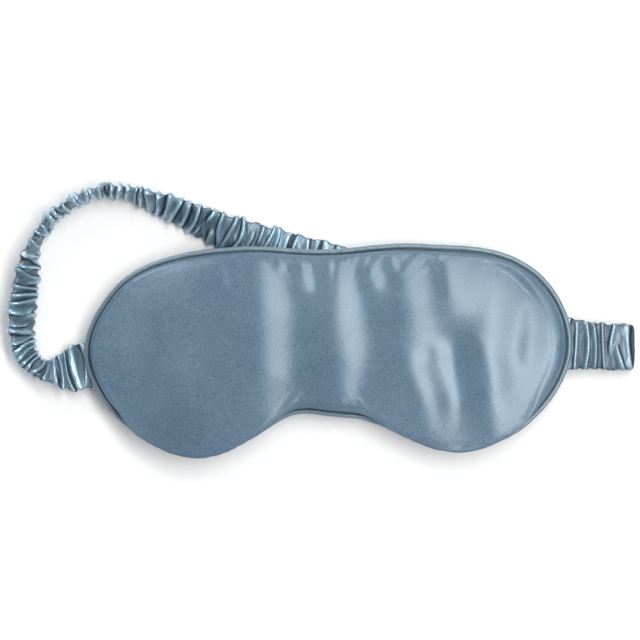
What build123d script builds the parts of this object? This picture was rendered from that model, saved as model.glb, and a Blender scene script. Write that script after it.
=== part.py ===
from build123d import *
import math
import os

# Padded satin sleep mask with a corded rim and a gathered elastic strap. Millimetres.
# Origin: centre of the mask's flat back, the side worn against the face. +X to the right end of the
# mask, +Y towards the forehead, +Z out of the front. The mask lies face up with its strap beneath it.

# Mask outline, along the middle of the piping
mask_width = 205.0
piping_radius = 1.2
half_width = mask_width / 2 - piping_radius
hump_y = 45.0
top_dip_y = 42.6
lobe_y = -43.4
notch_y = -24.6
outline_spans = 16

# Heights in the mask, from its back
mask_thickness = 12.5
seam_z = 3.8

# Layers
cover_t = 0.35
liner_t = 0.40
layer_gap = 0.05
flange_t = 0.50
allowance_t = 0.30
allowance_width = 5.0
pad_inset = piping_radius + 0.1
front_edge_radius = 8.0
back_edge_radius = 2.4
neck_half_height = 1.2
cord_radius = 0.70
bore_radius = 0.75

# Stitching
seam_inset = 2.2
stitch_pitch = 4.0
stitch_length = 2.4
thread_d = 0.30
tack_radius = 0.25
tack_pitch = 2.5
tack_count = 5
tack_inset = 3.25

# Strap: a gathered sleeve over a flat elastic, lying on the plane table_z
strap_gap = 0.6
sleeve_w = 19.0
sleeve_t = 4.2
sleeve_corner_share = 0.45
sewn_t = 2.0
sewn_z = 1.5
elastic_w = 12.0
elastic_t = 1.0
elastic_clearance = 0.1
body_gap = 0.3
slot_skin = 0.03
table_z = -strap_gap - sleeve_t
lying_z = table_z + sleeve_t / 2

# Sewn ends of the strap
left_end_y = -4.1
right_end_y = -0.8
right_end_w = 21.0
anchor_inner_x = 94.0
anchor_outer_x = 103.2
strap_start_x = anchor_outer_x + body_gap

# Fold at the right: the strap leaves the seam, doubles back and runs behind the mask
fold_x = 126.0
fold_return_x = 117.7
fold_ramp_x = 110.0
fold_gap = 0.8
front_layer_z = lying_z + sleeve_t + fold_gap


with BuildLine() as right_half:
    half_outline = Spline(
        (0, top_dip_y),
        (22, hump_y),
        (60, 41.3),
        (87, 28.3),
        (half_width, 0),
        (87, -28.6),
        (54, lobe_y),
        (30, -33.4),
        (0, notch_y),
        tangents=((1, 0), (-1, 0)),
    )


def inward(share, inset):
    """A point of the right half of the outline, moved into the mask by the inset."""
    along = half_outline % share
    return half_outline @ share + Vector(along.Y, -along.X) * inset


def outline(inset):
    """The mask's outline as a face, moved inwards from the middle of the piping."""
    shares = [n / outline_spans for n in range(outline_spans + 1)]
    with BuildSketch(mode=Mode.PRIVATE) as sketch:
        with BuildLine():
            Spline([inward(share, inset) for share in shares], tangents=((1, 0), (-1, 0)))
            mirror(about=Plane.YZ)
        make_face()
    return sketch.sketch


def front_dome(inset, base_z, top_z, radius):
    """A pad shape with a flat bottom and a rounded front edge."""
    with BuildPart() as dome:
        with BuildSketch(Plane.XY.offset(base_z)):
            add(outline(inset))
        extrude(amount=top_z - base_z)
        fillet(dome.faces().sort_by(Axis.Z)[-1].edges(), radius=radius)
    return dome.part


def back_dish(inset, bottom_z, rim_z, radius):
    """A shallow pad shape with a rounded edge at its flat back."""
    with BuildPart() as dish:
        with BuildSketch(Plane.XY.offset(bottom_z)):
            add(outline(inset))
        extrude(amount=rim_z - bottom_z)
        fillet(dish.faces().sort_by(Axis.Z)[0].edges(), radius=radius)
    return dish.part


def rim_tube(radius):
    """A round bar along the middle of the piping, all the way round the mask."""
    path = outline(0).face().outer_wire().moved(Location((0, 0, seam_z)))
    with BuildPart() as tube:
        with BuildSketch(Plane(path @ 0, z_dir=path % 0)):
            Circle(radius)
        sweep(path=path)
    return tube.part


# Cavities and outer shapes of the mask's layers, from the outside in
front_base = seam_z + flange_t / 2 + layer_gap
back_rim = seam_z - flange_t / 2 - layer_gap
liner_inset = pad_inset + cover_t + layer_gap
filling_inset = liner_inset + liner_t + layer_gap
liner_skin = cover_t + layer_gap
filling_skin = liner_skin + liner_t + layer_gap
front_inside = front_base + allowance_t
back_inside = back_rim - allowance_t

front_outer = front_dome(pad_inset, front_base, mask_thickness, front_edge_radius)
front_cavity = front_dome(
    pad_inset + cover_t, front_inside, mask_thickness - cover_t, front_edge_radius - cover_t
)
front_liner_outer = front_dome(
    liner_inset, front_inside + layer_gap, mask_thickness - liner_skin, front_edge_radius - liner_skin
)
front_liner_cavity = front_dome(
    liner_inset + liner_t,
    front_inside + layer_gap,
    mask_thickness - liner_skin - liner_t,
    front_edge_radius - liner_skin - liner_t,
)
back_outer = back_dish(pad_inset, 0, back_rim, back_edge_radius)
back_cavity = back_dish(pad_inset + cover_t, cover_t, back_inside, back_edge_radius - cover_t)
back_liner_outer = back_dish(
    liner_inset, liner_skin, back_inside - layer_gap, back_edge_radius - liner_skin
)
back_liner_cavity = back_dish(
    liner_inset + liner_t,
    liner_skin + liner_t,
    back_inside - layer_gap,
    back_edge_radius - liner_skin - liner_t,
)

# Slots through which the sewn ends of the strap enter the back half, under the piping
slot_base_z = cover_t + slot_skin
slot_height = sewn_z + sewn_t / 2 + layer_gap - slot_base_z
slot_length = anchor_outer_x - anchor_inner_x + 2 * layer_gap
with BuildPart() as strap_slots:
    with BuildSketch(Plane.XY.offset(slot_base_z)):
        with Locations((-(anchor_inner_x + anchor_outer_x) / 2, left_end_y)):
            Rectangle(slot_length, sleeve_w + 2 * layer_gap)
        with Locations(((anchor_inner_x + anchor_outer_x) / 2, right_end_y)):
            Rectangle(slot_length, right_end_w + 2 * layer_gap)
    extrude(amount=slot_height)

# Front cover: the domed satin panel with its seam allowance turned in
with BuildPart() as front_cover:
    add(front_outer)
    add(front_cavity, mode=Mode.SUBTRACT)
    with BuildSketch(Plane.XY.offset(front_base)):
        add(outline(pad_inset + allowance_width))
    extrude(amount=allowance_t, mode=Mode.SUBTRACT)

# Back cover: the satin panel against the face
with BuildPart() as back_cover:
    add(back_outer)
    add(back_cavity, mode=Mode.SUBTRACT)
    with BuildSketch(Plane.XY.offset(back_inside)):
        add(outline(pad_inset + allowance_width))
    extrude(amount=allowance_t, mode=Mode.SUBTRACT)
    add(strap_slots.part, mode=Mode.SUBTRACT)

# Light-blocking linings
with BuildPart() as front_liner:
    add(front_liner_outer)
    add(front_liner_cavity, mode=Mode.SUBTRACT)

with BuildPart() as back_liner:
    add(back_liner_outer)
    add(back_liner_cavity, mode=Mode.SUBTRACT)
    add(strap_slots.part, mode=Mode.SUBTRACT)

# Wadding: fills both halves and joins them inside the seam allowances
filling_front = front_dome(
    filling_inset,
    front_inside + layer_gap,
    mask_thickness - filling_skin,
    front_edge_radius - filling_skin,
)
filling_back = back_dish(
    filling_inset, filling_skin, back_inside - layer_gap, back_edge_radius - filling_skin
)
with BuildPart() as filling:
    add(filling_front)
    add(filling_back)
    with BuildSketch(Plane.XY.offset(seam_z - neck_half_height)):
        add(outline(pad_inset + allowance_width + layer_gap))
    extrude(amount=2 * neck_half_height)
    add(strap_slots.part, mode=Mode.SUBTRACT)

# Piping: a cord in a bias tube whose flange is caught in the seam
piping_solid = rim_tube(piping_radius)
piping_bore = rim_tube(bore_radius)
with BuildPart() as piping_cover:
    with BuildSketch(Plane.XY.offset(seam_z - flange_t / 2)):
        add(outline(0))
        add(outline(pad_inset + allowance_width), mode=Mode.SUBTRACT)
    extrude(amount=flange_t)
    add(piping_solid)
    add(piping_bore, mode=Mode.SUBTRACT)

piping_core = rim_tube(cord_radius)
with BuildPart() as piping_cord:
    add(piping_core)

# Seam stitches: one line all round, through both seam allowances and the flange
seam_line = outline(seam_inset).face().outer_wire()
stitch_count = int(seam_line.length / stitch_pitch)
stitch_height = flange_t + 2 * allowance_t + 4 * layer_gap


def stitch_place(share):
    """Where one stitch lies, given how far round the seam it is."""
    point = seam_line @ share
    along = seam_line % share
    return Location((point.X, point.Y, seam_z), (0, 0, math.degrees(math.atan2(along.Y, along.X))))


with BuildPart() as edge_stitches:
    with Locations(*[stitch_place(n / stitch_count) for n in range(stitch_count)]):
        Box(stitch_length, thread_d, stitch_height)


# Sewn ends of the strap, held in the side seams
def anchor_block(side, end_y, width, thickness):
    """The flat block that the strap fills between the seam and just outside the piping."""
    middle_x = side * (anchor_inner_x + anchor_outer_x) / 2
    with BuildPart() as block:
        with BuildSketch(Plane.XY.offset(sewn_z - thickness / 2)):
            with Locations((middle_x, end_y)):
                Rectangle(anchor_outer_x - anchor_inner_x, width)
        extrude(amount=thickness)
    return block.part


def anchor_sleeve(side, end_y, width):
    """The gathered sleeve's end, open where the elastic passes."""
    outer = anchor_block(side, end_y, width, sewn_t)
    bore = anchor_block(
        side, end_y, elastic_w + 2 * elastic_clearance, elastic_t + 2 * elastic_clearance
    )
    with BuildPart() as sleeve:
        add(outer)
        add(bore, mode=Mode.SUBTRACT)
    return sleeve.part


def bar_tack(side, end_y):
    """A row of stitches through the strap's end, the seam allowances and the flange."""
    tack_x = side * (half_width - pad_inset - tack_inset)
    base_z = sewn_z - sewn_t / 2 - layer_gap
    with BuildPart() as tack:
        with BuildSketch(Plane.XY.offset(base_z)):
            with Locations((tack_x, end_y)):
                with GridLocations(0, tack_pitch, 1, tack_count):
                    Circle(tack_radius)
        extrude(amount=front_inside + layer_gap - base_z)
    return tack.part


left_anchor = anchor_sleeve(-1, left_end_y, sleeve_w)
with BuildPart() as strap_anchor_left:
    add(left_anchor)

right_anchor = anchor_sleeve(1, right_end_y, right_end_w)
with BuildPart() as strap_anchor_right:
    add(right_anchor)

left_elastic_end = anchor_block(-1, left_end_y, elastic_w, elastic_t)
with BuildPart() as elastic_anchor_left:
    add(left_elastic_end)

right_elastic_end = anchor_block(1, right_end_y, elastic_w, elastic_t)
with BuildPart() as elastic_anchor_right:
    add(right_elastic_end)

left_tack = bar_tack(-1, left_end_y)
with BuildPart() as bar_tacks_left:
    add(left_tack)

right_tack = bar_tack(1, right_end_y)
with BuildPart() as bar_tacks_right:
    add(right_tack)

# The strap's free run. Each station is x, y, heading in degrees, and twist in degrees: at 0 the strap
# lies flat, at 90 it stands on edge with its outer side up.
loop_stations = {
    "end": [
        (-112.5, -6.6, 197, 0),
        (-121.5, -8.6, 170, 18),
        (-127.8, -3.4, 115, 34),
        (-128.3, 4.5, 92, 44),
    ],
    "arm": [
        (-128.3, 4.5, 92, 44),
        (-126.9, 20.5, 82, 50),
        (-123.4, 36.6, 74, 62),
        (-117.9, 50.2, 60, 78),
    ],
    "middle": [
        (-117.9, 50.2, 60, 78),
        (-107.6, 63.6, 42, 84),
        (-91.6, 70.0, 2, 86),
        (-77.4, 66.6, -20, 72),
    ],
    "lead": [
        (-77.4, 66.6, -20, 72),
        (-51.9, 57.3, -20, 38),
        (-26.9, 47.4, -18.8, 0),
    ],
}
arm_heading = -18.8
arm_start_x = -26.9


def station_plane(station, shift=0.0):
    """The plane across the strap at a station, with the strap's lower edge on the table."""
    x, y, heading, twist = station
    run = math.radians(heading)
    lean = math.radians(twist)
    rise = sleeve_w / 2 * abs(math.sin(lean)) + sleeve_t / 2 * abs(math.cos(lean))
    along = Vector(math.cos(run), math.sin(run), 0)
    across = Vector(-math.sin(run), math.cos(run), 0) * math.cos(lean) + Vector(0, 0, math.sin(lean))
    middle = Vector(x, y, table_z + rise) + along * shift
    return Plane(middle, x_dir=across, z_dir=along)


def sewn_plane(side, end_y):
    """The plane across the strap just outside its sewn end."""
    return Plane((side * strap_start_x, end_y, sewn_z), x_dir=(0, -side, 0), z_dir=(side, 0, 0))


def sleeve_section(plane, width=sleeve_w, thickness=sleeve_t):
    """The gathered sleeve's outer section on a plane."""
    with BuildSketch(plane) as section:
        RectangleRounded(width, thickness, thickness * sleeve_corner_share)
    return section.sketch


def elastic_section(plane, clearance=0.0):
    """The elastic's section on a plane, or the bore around it."""
    with BuildSketch(plane) as section:
        Rectangle(elastic_w + 2 * clearance, elastic_t + 2 * clearance)
    return section.sketch


def lofted(sections):
    """A solid through sections in order."""
    with BuildPart() as run:
        for section in sections:
            add(section)
        loft()
    return run.part


def sleeve_and_elastic(planes, first_section=None):
    """The hollow sleeve through the planes, and the elastic in it."""
    outer_sections = [sleeve_section(p) for p in planes]
    if first_section is not None:
        outer_sections[0] = first_section
    outer = lofted(outer_sections)
    bore = lofted([elastic_section(p, elastic_clearance) for p in planes])
    elastic = lofted([elastic_section(p) for p in planes])
    with BuildPart() as sleeve:
        add(outer)
        add(bore, mode=Mode.SUBTRACT)
    return sleeve.part, elastic


left_sewn = sewn_plane(-1, left_end_y)
end_planes = [left_sewn] + [station_plane(s) for s in loop_stations["end"]]
left_end_sleeve, left_end_elastic = sleeve_and_elastic(
    end_planes, sleeve_section(left_sewn, sleeve_w, sewn_t)
)
with BuildPart() as strap_sleeve_end_left:
    add(left_end_sleeve)

with BuildPart() as strap_elastic_end_left:
    add(left_end_elastic)

left_arm_stations = loop_stations["arm"]
left_arm_planes = [station_plane(s) for s in left_arm_stations[:-1]]
left_arm_planes.append(station_plane(left_arm_stations[-1], -body_gap / 2))
left_arm_sleeve, left_arm_elastic = sleeve_and_elastic(left_arm_planes)
with BuildPart() as strap_sleeve_arm_left:
    add(left_arm_sleeve)

with BuildPart() as strap_elastic_arm_left:
    add(left_arm_elastic)

middle_stations = loop_stations["middle"]
middle_planes = [station_plane(middle_stations[0], body_gap / 2)]
middle_planes += [station_plane(s) for s in middle_stations[1:-1]]
middle_planes.append(station_plane(middle_stations[-1], -body_gap / 2))
middle_sleeve, middle_elastic = sleeve_and_elastic(middle_planes)
with BuildPart() as strap_sleeve_middle:
    add(middle_sleeve)

with BuildPart() as strap_elastic_middle:
    add(middle_elastic)

# The long arm: it untwists, then lies flat and straight behind the mask as far as the fold
lead_stations = loop_stations["lead"]
lead_planes = [station_plane(lead_stations[0], body_gap / 2)]
lead_planes += [station_plane(s) for s in lead_stations[1:]]
lead_sleeve, lead_elastic = sleeve_and_elastic(lead_planes)
flat_plane = lead_planes[-1]
flat_length = (fold_return_x - arm_start_x) / math.cos(math.radians(arm_heading)) + sleeve_w
fold_cut = Plane.YZ.offset(fold_return_x)


def flat_run(section):
    """A section drawn out straight along the arm and cut off where the fold begins."""
    with BuildPart() as run:
        add(section)
        extrude(amount=flat_length, dir=flat_plane.z_dir)
        split(bisect_by=fold_cut, keep=Keep.BOTTOM)
    return run.part


flat_outer = flat_run(sleeve_section(flat_plane))
flat_bore = flat_run(elastic_section(flat_plane, elastic_clearance))
flat_elastic = flat_run(elastic_section(flat_plane))

with BuildPart() as strap_sleeve_arm_right:
    add(flat_outer)
    add(flat_bore, mode=Mode.SUBTRACT)
    add(lead_sleeve)

with BuildPart() as strap_elastic_arm_right:
    add(flat_elastic)
    add(lead_elastic)

# The fold beside the right seam: a ramp out of the seam, the front layer, the turn and its return
right_sewn = sewn_plane(1, right_end_y)
ramp_end = Plane(
    (fold_ramp_x, right_end_y, front_layer_z), x_dir=right_sewn.x_dir, z_dir=right_sewn.z_dir
)
with BuildLine() as fold_path:
    fold_run = Line((fold_ramp_x, right_end_y, front_layer_z), (fold_x, right_end_y, front_layer_z))
    fold_turn = ThreePointArc(
        fold_run @ 1,
        (fold_x + (front_layer_z - lying_z) / 2, right_end_y, (front_layer_z + lying_z) / 2),
        (fold_x, right_end_y, lying_z),
    )
    Line(fold_turn @ 1, (fold_return_x, right_end_y, lying_z))


def folded(section):
    """A section swept round the fold."""
    with BuildPart() as run:
        add(section)
        sweep(path=fold_path.wire())
    return run.part


fold_outer = folded(sleeve_section(ramp_end, right_end_w))
fold_bore = folded(elastic_section(ramp_end, elastic_clearance))
fold_elastic = folded(elastic_section(ramp_end))
ramp_outer = lofted(
    [sleeve_section(right_sewn, right_end_w, sewn_t), sleeve_section(ramp_end, right_end_w)]
)
ramp_bore = lofted([elastic_section(p, elastic_clearance) for p in (right_sewn, ramp_end)])
ramp_elastic = lofted([elastic_section(p) for p in (right_sewn, ramp_end)])

with BuildPart() as strap_sleeve_end_right:
    add(fold_outer)
    add(ramp_outer)
    add(fold_bore, mode=Mode.SUBTRACT)
    add(ramp_bore, mode=Mode.SUBTRACT)

with BuildPart() as strap_elastic_end_right:
    add(fold_elastic)
    add(ramp_elastic)

sub_parts = {
    "front_cover": front_cover,
    "back_cover": back_cover,
    "front_liner": front_liner,
    "back_liner": back_liner,
    "filling": filling,
    "piping_cover": piping_cover,
    "piping_cord": piping_cord,
    "edge_stitches": edge_stitches,
    "bar_tacks_left": bar_tacks_left,
    "bar_tacks_right": bar_tacks_right,
    "strap_anchor_left": strap_anchor_left,
    "strap_anchor_right": strap_anchor_right,
    "elastic_anchor_left": elastic_anchor_left,
    "elastic_anchor_right": elastic_anchor_right,
    "strap_sleeve_end_left": strap_sleeve_end_left,
    "strap_sleeve_arm_left": strap_sleeve_arm_left,
    "strap_sleeve_middle": strap_sleeve_middle,
    "strap_sleeve_arm_right": strap_sleeve_arm_right,
    "strap_sleeve_end_right": strap_sleeve_end_right,
    "strap_elastic_end_left": strap_elastic_end_left,
    "strap_elastic_arm_left": strap_elastic_arm_left,
    "strap_elastic_middle": strap_elastic_middle,
    "strap_elastic_arm_right": strap_elastic_arm_right,
    "strap_elastic_end_right": strap_elastic_end_right,
}

os.makedirs("parts", exist_ok=True)
for label, piece in sub_parts.items():
    piece.part.label = label
    export_step(piece.part, f"parts/{label}.step")
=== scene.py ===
import bpy
import math
import numpy as np
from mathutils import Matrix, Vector
from mathutils.kdtree import KDTree


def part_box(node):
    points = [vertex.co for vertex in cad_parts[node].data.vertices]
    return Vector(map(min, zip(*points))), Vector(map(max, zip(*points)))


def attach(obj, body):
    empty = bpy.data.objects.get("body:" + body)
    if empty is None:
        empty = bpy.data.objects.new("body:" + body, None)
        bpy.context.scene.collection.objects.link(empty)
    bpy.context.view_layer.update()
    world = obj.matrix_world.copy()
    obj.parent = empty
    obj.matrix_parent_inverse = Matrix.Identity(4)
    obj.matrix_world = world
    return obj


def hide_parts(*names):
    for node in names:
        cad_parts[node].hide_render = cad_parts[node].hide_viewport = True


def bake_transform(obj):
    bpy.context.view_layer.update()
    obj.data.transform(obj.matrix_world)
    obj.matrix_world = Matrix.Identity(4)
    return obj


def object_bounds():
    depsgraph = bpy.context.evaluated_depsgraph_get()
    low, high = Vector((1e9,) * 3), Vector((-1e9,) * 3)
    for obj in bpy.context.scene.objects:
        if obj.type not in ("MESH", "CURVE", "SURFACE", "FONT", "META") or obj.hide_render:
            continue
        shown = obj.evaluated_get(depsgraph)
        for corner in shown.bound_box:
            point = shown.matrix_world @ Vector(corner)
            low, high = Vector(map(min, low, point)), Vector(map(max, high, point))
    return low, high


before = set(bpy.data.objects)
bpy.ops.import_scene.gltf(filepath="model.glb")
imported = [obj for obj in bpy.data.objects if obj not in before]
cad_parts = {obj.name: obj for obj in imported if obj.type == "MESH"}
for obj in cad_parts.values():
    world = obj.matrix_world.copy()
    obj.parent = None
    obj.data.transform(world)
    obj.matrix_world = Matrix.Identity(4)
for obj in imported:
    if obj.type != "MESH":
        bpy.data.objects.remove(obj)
cad_low, cad_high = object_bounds()
MM = 0.001
table_z = cad_low.z
chance = np.random.default_rng(7)


# ---------------------------------------------------------------- camera and light

VIEW_CENTRE = Vector((-2.4, 12.8, 5.0)) * MM
VIEW_WIDTH = 271.0 * MM
VIEW_HEIGHT = 1.25
VIEW_ROLL = math.radians(-1.5)
SENSOR_WIDTH = 36.0
VIEW_REACH = 20.0
SKY_COLOUR = (0.93, 0.96, 1.0)
SKY_STRENGTH = 0.46

# Each lamp: its name, place, width and length in metres, power in watts, and colour.
LAMPS = [
    ("key", (0.34, 0.08, 0.93), (1.50, 0.26), 10.4, (1.0, 0.985, 0.955)),
    ("top_glint", (-0.42, 0.80, 0.42), (0.30, 0.30), 3.2, (1.0, 1.0, 1.0)),
]


def add_camera():
    data = bpy.data.cameras.new("camera")
    data.sensor_width = SENSOR_WIDTH
    data.lens = SENSOR_WIDTH * VIEW_HEIGHT / VIEW_WIDTH
    data.clip_end = VIEW_REACH
    camera = bpy.data.objects.new("camera", data)
    camera.location = VIEW_CENTRE + Vector((0, 0, VIEW_HEIGHT))
    camera.rotation_euler = (0, 0, VIEW_ROLL)
    bpy.context.scene.collection.objects.link(camera)
    bpy.context.scene.camera = camera


def add_area_light(name, place, size, power, colour):
    """A rectangular lamp that shines towards the middle of the mask."""
    data = bpy.data.lights.new(name, "AREA")
    data.shape = "RECTANGLE"
    data.size, data.size_y = size
    data.energy = power
    data.color = colour
    light = bpy.data.objects.new(name, data)
    light.location = place
    light.rotation_euler = (-Vector(place)).to_track_quat("-Z", "Y").to_euler()
    bpy.context.scene.collection.objects.link(light)


def add_world():
    world = bpy.data.worlds.new("world")
    world.use_nodes = True
    background = world.node_tree.nodes["Background"]
    background.inputs["Color"].default_value = (*SKY_COLOUR, 1)
    background.inputs["Strength"].default_value = SKY_STRENGTH
    bpy.context.scene.world = world


add_camera()
for lamp in LAMPS:
    add_area_light(*lamp)
add_world()
bpy.context.scene.view_settings.view_transform = "Standard"


# ---------------------------------------------------------------- materials

# Where most of a noise's values lie, and the sockets of a Mix node that hold colours.
NOISE_LOW, NOISE_HIGH = 0.3, 0.7
MIX_FIRST, MIX_SECOND, MIX_RESULT = 6, 7, 2

# Satin: sizes of its patterns in waves for each metre, and depths of its relief in metres.
GRAIN_SCALE = 1700
TONE_SCALE = 45
WEAVE_SCALE = 1400.0
WEAVE_DEPTH = 0.04 * MM
GRAIN_DEPTH = 0.08 * MM
GAP_ROUGHNESS = 0.24
SATIN_SPECULAR = 0.9
FABRIC_DEPTH = 0.2 * MM


def new_material(name):
    material = bpy.data.materials.new(name)
    material.use_nodes = True
    tree = material.node_tree
    shader = tree.nodes["Principled BSDF"]
    return material, tree, shader


def add_node(tree, kind, **settings):
    node = tree.nodes.new(kind)
    for key, value in settings.items():
        if key in node.inputs:
            node.inputs[key].default_value = value
        else:
            setattr(node, key, value)
    return node


def noise_node(tree, scale, detail=2.0, roughness=0.5):
    where = add_node(tree, "ShaderNodeTexCoord")
    node = add_node(tree, "ShaderNodeTexNoise", Scale=scale, Detail=detail, Roughness=roughness)
    tree.links.new(where.outputs["Object"], node.inputs["Vector"])
    return node


def map_range(tree, source, low, high, to_low, to_high):
    node = add_node(tree, "ShaderNodeMapRange")
    node.inputs["From Min"].default_value = low
    node.inputs["From Max"].default_value = high
    node.inputs["To Min"].default_value = to_low
    node.inputs["To Max"].default_value = to_high
    tree.links.new(source, node.inputs["Value"])
    return node.outputs["Result"]


def mixed_colour(tree, factor, first, second):
    node = add_node(tree, "ShaderNodeMix", data_type="RGBA")
    tree.links.new(factor, node.inputs["Factor"])
    node.inputs[MIX_FIRST].default_value = (*first, 1)
    node.inputs[MIX_SECOND].default_value = (*second, 1)
    return node.outputs[MIX_RESULT]


def noise_range(tree, noise, to_low, to_high):
    """A noise's usual values spread over a new range."""
    return map_range(tree, noise.outputs["Fac"], NOISE_LOW, NOISE_HIGH, to_low, to_high)


def added(tree, first, second):
    node = add_node(tree, "ShaderNodeMath", operation="ADD")
    tree.links.new(first, node.inputs[0])
    tree.links.new(second, node.inputs[1])
    return node.outputs[0]


def multiplied_colour(tree, first, second):
    node = add_node(tree, "ShaderNodeMix", data_type="RGBA", blend_type="MULTIPLY")
    node.inputs["Factor"].default_value = 1.0
    tree.links.new(first, node.inputs[MIX_FIRST])
    tree.links.new(second, node.inputs[MIX_SECOND])
    return node.outputs[MIX_RESULT]


def satin_normal(tree, grain_noise, weave):
    """Fine slanted threads, with the grain's relief over them."""
    where = add_node(tree, "ShaderNodeTexCoord")
    threads = add_node(tree, "ShaderNodeTexWave", Scale=WEAVE_SCALE, Distortion=1.2, Detail=2.0)
    threads.bands_direction = "DIAGONAL"
    tree.links.new(where.outputs["Object"], threads.inputs["Vector"])
    bump = add_node(tree, "ShaderNodeBump", Strength=0.10 * weave, Distance=WEAVE_DEPTH)
    tree.links.new(threads.outputs["Fac"], bump.inputs["Height"])
    grain_bump = add_node(tree, "ShaderNodeBump", Strength=0.35 * weave, Distance=GRAIN_DEPTH)
    tree.links.new(grain_noise.outputs["Fac"], grain_bump.inputs["Height"])
    tree.links.new(bump.outputs["Normal"], grain_bump.inputs["Normal"])
    return grain_bump.outputs["Normal"]


def satin(name, dark, light, roughness=0.32, weave=1.0, gloss=0.15, stretch=0.0, folded=None):
    """Charmeuse: a soft broad gloss, with a fine grain from its weave and slow changes of tone.

    stretch draws the gloss out across the cloth. folded holds the colours that the base colour is
    multiplied by: painted shade in the gaps between pleats and painted highlight on their crests, which a
    mesh attribute tells apart.
    """
    material, tree, shader = new_material(name)
    grain_noise = noise_node(tree, GRAIN_SCALE, detail=3.0, roughness=0.75)
    slow_noise = noise_node(tree, TONE_SCALE, detail=2.0)
    tone = added(tree, noise_range(tree, grain_noise, 0.0, 1.0), noise_range(tree, slow_noise, 0.35, 0.65))
    colour = mixed_colour(tree, map_range(tree, tone, 0.4, 1.6, 0.0, 1.0), dark, light)
    rough = noise_range(tree, grain_noise, roughness - 0.04, roughness + 0.05)
    if folded:
        # Painted shade in the pleats' gaps and painted highlight on their crests, read from the mesh
        # attribute.
        painted_fold_light = add_node(tree, "ShaderNodeAttribute", attribute_name="painted_fold_light")
        colour = multiplied_colour(tree, colour, mixed_colour(tree, painted_fold_light.outputs["Fac"], *folded))
        rough = added(tree, rough, map_range(tree, painted_fold_light.outputs["Fac"], 0.1, 0.8, GAP_ROUGHNESS, 0.0))
    tree.links.new(colour, shader.inputs["Base Color"])
    tree.links.new(rough, shader.inputs["Roughness"])
    tree.links.new(satin_normal(tree, grain_noise, weave), shader.inputs["Normal"])
    shader.inputs["Metallic"].default_value = gloss
    if stretch:
        shader.inputs["Anisotropic"].default_value = stretch
        tangent = add_node(tree, "ShaderNodeTangent", direction_type="RADIAL", axis="X")
        tree.links.new(tangent.outputs["Tangent"], shader.inputs["Tangent"])
    shader.inputs["Specular IOR Level"].default_value = SATIN_SPECULAR
    return material


def matt_fabric(name, dark, light, scale, roughness=0.85, bump_strength=0.4):
    """Plain woven or felted cloth: matt, with a mottled thread tone."""
    material, tree, shader = new_material(name)
    threads = noise_node(tree, scale, detail=4.0, roughness=0.6)
    colour = mixed_colour(tree, noise_range(tree, threads, 0.0, 1.0), dark, light)
    tree.links.new(colour, shader.inputs["Base Color"])
    bump = add_node(tree, "ShaderNodeBump", Strength=bump_strength, Distance=FABRIC_DEPTH)
    tree.links.new(threads.outputs["Fac"], bump.inputs["Height"])
    tree.links.new(bump.outputs["Normal"], shader.inputs["Normal"])
    shader.inputs["Roughness"].default_value = roughness
    return material


def floor_material():
    material, tree, shader = new_material("floor")
    tone = noise_node(tree, 3.0)
    colour = mixed_colour(tree, noise_range(tree, tone, 0.0, 1.0), (0.93, 0.93, 0.93), (0.96, 0.96, 0.96))
    tree.links.new(colour, shader.inputs["Base Color"])
    shader.inputs["Roughness"].default_value = 0.9
    return material


panel_satin = satin(
    "panel_satin",
    (0.030, 0.088, 0.152),
    (0.150, 0.235, 0.315),
    roughness=0.38,
    stretch=0.85,
)
piping_satin = satin("piping_satin", (0.115, 0.185, 0.235), (0.180, 0.262, 0.320))
strap_satin = satin(
    "strap_satin",
    (0.078, 0.145, 0.205),
    (0.125, 0.205, 0.270),
    roughness=0.22,
    weave=0.5,
    gloss=0.45,
    # Painted shade in the pleat gaps (first colour) and painted highlight on the crests (second colour).
    folded=((0.05, 0.10, 0.18), (3.7, 3.25, 2.9)),
)
lining_cloth = matt_fabric("lining_cloth", (0.006, 0.008, 0.012), (0.02, 0.024, 0.03), 2500)
wadding_fluff = matt_fabric("wadding", (0.70, 0.69, 0.65), (0.88, 0.88, 0.85), 700, bump_strength=0.8)
cord_cotton = matt_fabric("cord_cotton", (0.62, 0.60, 0.54), (0.80, 0.79, 0.74), 1800)
thread = matt_fabric("thread", (0.10, 0.16, 0.22), (0.17, 0.25, 0.33), 6000, roughness=0.55)
elastic_web = matt_fabric("elastic_web", (0.60, 0.60, 0.58), (0.82, 0.82, 0.80), 2600)


# ---------------------------------------------------------------- mesh helpers

def mesh_object(name, points, faces, material):
    mesh = bpy.data.meshes.new(name)
    mesh.from_pydata([tuple(p) for p in points], [], [tuple(int(i) for i in f) for f in faces])
    mesh.materials.append(material)
    mesh.polygons.foreach_set("use_smooth", [True] * len(mesh.polygons))
    mesh.update()
    piece = bpy.data.objects.new(name, mesh)
    bpy.context.scene.collection.objects.link(piece)
    return piece


def apply_modifier(piece, kind, **settings):
    modifier = piece.modifiers.new(kind.lower(), kind)
    for key, value in settings.items():
        setattr(modifier, key, value)
    bpy.context.view_layer.objects.active = piece
    piece.select_set(True)
    bpy.ops.object.modifier_apply(modifier=modifier.name)
    piece.select_set(False)


def grid_faces(rows, columns, closed_rows=False, closed_columns=False):
    """Quads of a grid whose points run column by column within each row."""
    last_row = rows if closed_rows else rows - 1
    last_column = columns if closed_columns else columns - 1
    i, j = np.meshgrid(np.arange(last_row), np.arange(last_column), indexing="ij")
    i, j = i.ravel(), j.ravel()
    i2, j2 = (i + 1) % rows, (j + 1) % columns
    return np.stack([i * columns + j, i2 * columns + j, i2 * columns + j2, i * columns + j2], axis=1)


def smooth_step(x, low, high):
    t = np.clip((np.asarray(x, float) - low) / (high - low), 0, 1)
    return t * t * (3 - 2 * t)


def bell(x, width):
    return np.exp(-(np.asarray(x, float) / width) ** 2)


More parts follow.
